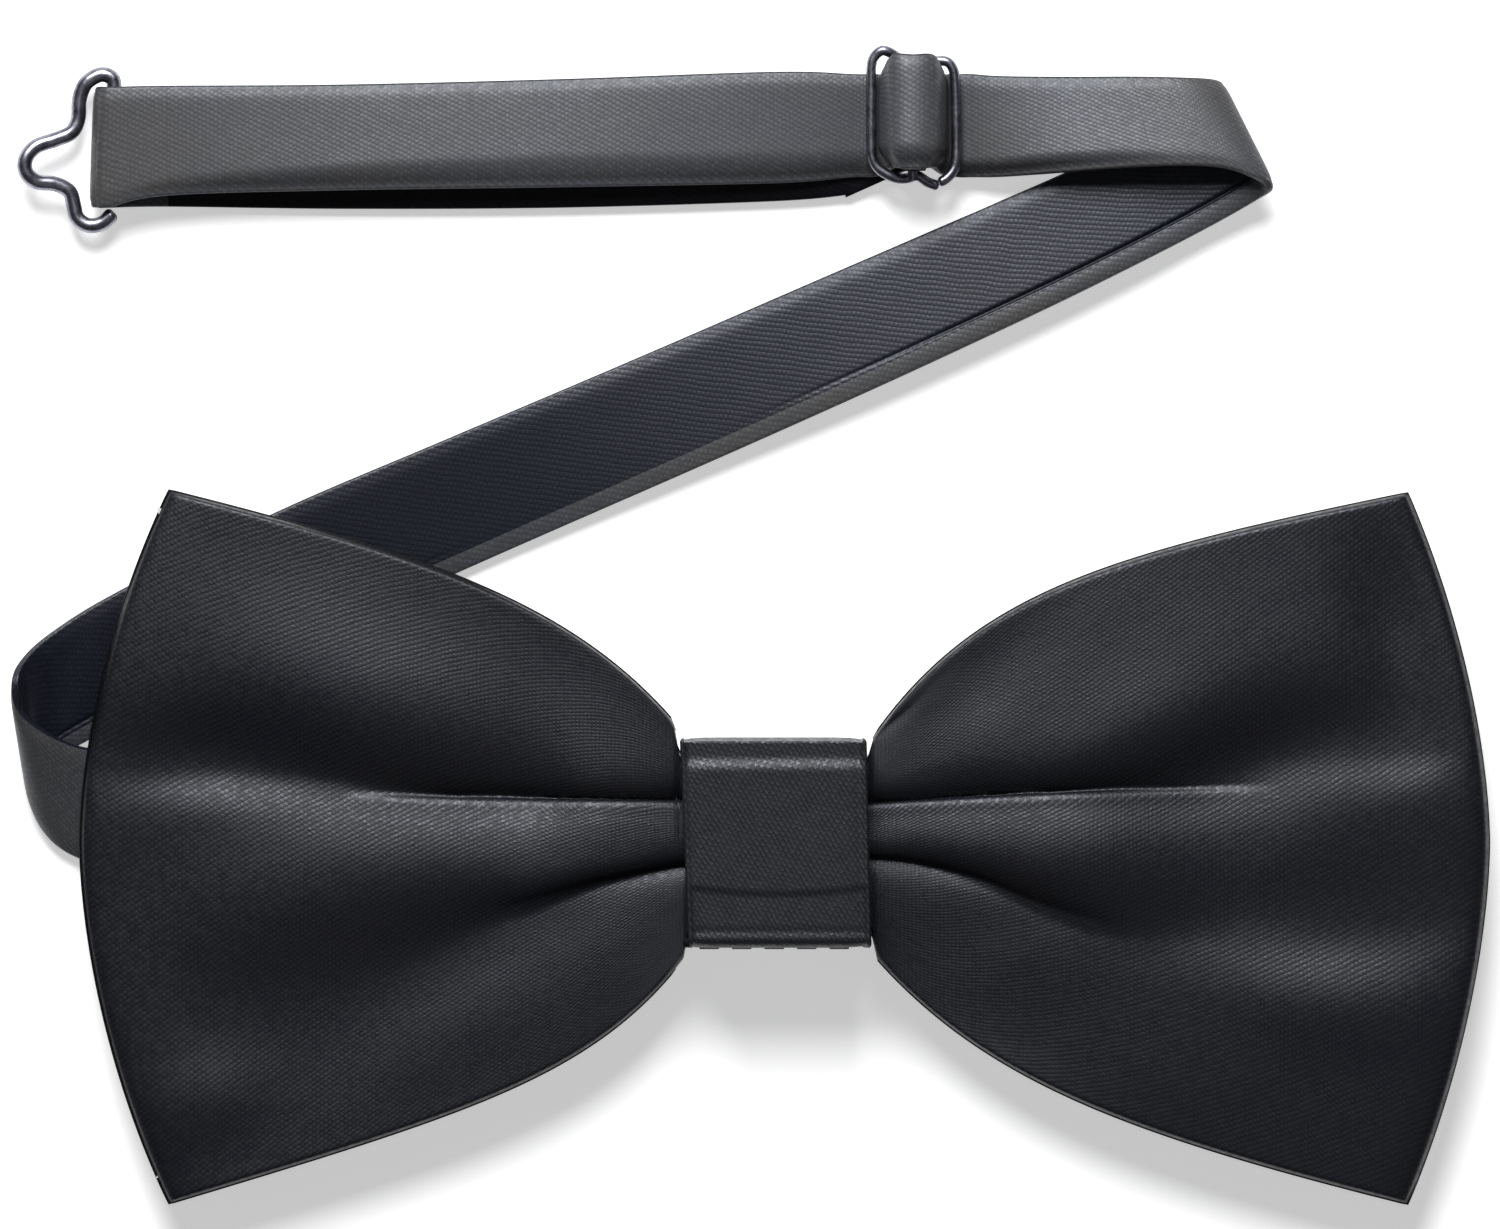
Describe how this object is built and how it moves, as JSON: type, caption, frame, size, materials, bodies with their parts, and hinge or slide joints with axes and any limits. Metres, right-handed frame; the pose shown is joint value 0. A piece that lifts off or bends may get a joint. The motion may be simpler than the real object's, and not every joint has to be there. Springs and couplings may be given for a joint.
{
  "type": "bow tie",
  "caption": "Pre-tied satin bow tie with a wrapped knot and a satin neckband with wire slide adjuster, end hook and eye, lying face up.",
  "frame": {"origin": "centre of the knot's flat back face", "axes": "+X across the bow towards the short tab, +Y up as worn, +Z out of the bow's front"},
  "size_m": [0.1355, 0.1063, 0.012],
  "materials": {
    "bow_satin": "black satin weave with a soft sheen",
    "band_satin": "black satin weave, lighter where it faces the light",
    "interlining": "plain woven stiffener",
    "thread": "twisted sewing thread",
    "wire": "dark nickel-plated round wire"
  },
  "bodies": {
    "bow": {"bow_front_panel": "bow_satin", "bow_back_panel": "bow_satin", "bow_interlining": "interlining", "waist_thread": "thread", "knot_wrap": "bow_satin", "knot_interlining": "interlining", "knot_stitches": "thread", "neckband_near": "band_satin", "neckband_turn": "band_satin", "neckband_diagonal": "band_satin", "neckband_fold": "band_satin", "neckband_run": "band_satin", "neckband_interlining": "interlining", "tab_strap": "band_satin", "tab_stitches": "thread"},
    "adjuster": {"adjuster_frame": "wire", "adjuster_bar": "wire", "adjuster_pass": "band_satin", "tail_loop": "band_satin", "tail_stitches": "thread"},
    "band_end": {"strap_end_turn": "band_satin", "strap_loop_upper": "band_satin", "strap_loop_lower": "band_satin"},
    "hook": {"band_hook": "wire"},
    "eye": {"tab_eye": "wire"}
  },
  "joints": [
    {"name": "adjuster_slide", "type": "slide", "parent": "bow", "child": "adjuster", "axis": [1, 0, 0], "range_m": [-0.08, 0.012], "deforming": ["neckband_run"]},
    {"name": "band_end_slide", "type": "slide", "parent": "adjuster", "child": "band_end", "axis": [1, 0, 0], "range_m": [-0.006, 0.04], "deforming": ["strap_loop_upper", "strap_loop_lower"]},
    {"name": "hook_hinge", "type": "hinge", "parent": "band_end", "child": "hook", "pos_m": [-0.061, 0.0645, 0.002], "axis": [0, 1, 0], "range_deg": [-90, 115]},
    {"name": "eye_hinge", "type": "hinge", "parent": "bow", "child": "eye", "pos_m": [0.042, 0, 0.0016], "axis": [0, -1, 0], "range_deg": [-90, 5]}
  ],
  "couplings": [
    {"joint": "band_end_slide", "follows": "adjuster_slide", "ratio": -0.5}
  ]
}
